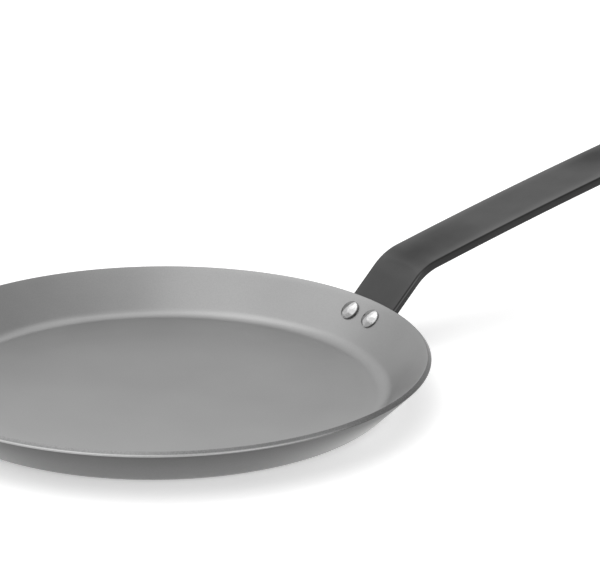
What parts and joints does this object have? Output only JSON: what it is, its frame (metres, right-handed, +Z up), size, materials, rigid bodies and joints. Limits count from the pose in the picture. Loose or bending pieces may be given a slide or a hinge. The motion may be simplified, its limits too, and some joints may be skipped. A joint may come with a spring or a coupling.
{
  "type": "crepe pan",
  "caption": "Shallow round pan of pressed carbon steel with a flat floor, a low flared wall and a long flat bar handle riveted to the wall.",
  "frame": {"origin": "centre of the pan's flat underside, where it stands", "axes": "+Z up, +X from the pan's centre out along the handle, +Y to the left when looking along the handle"},
  "size_m": [0.4331, 0.2396, 0.0729],
  "materials": {
    "pan_steel": "matt grey carbon steel, faintly mottled",
    "handle_coating": "near-black satin coating on steel",
    "rivet_metal": "bright solid metal with set marks"
  },
  "bodies": {
    "root": {"pan_body": "pan_steel", "handle": "handle_coating", "rivet_left": "rivet_metal", "rivet_right": "rivet_metal"}
  },
  "joints": []
}
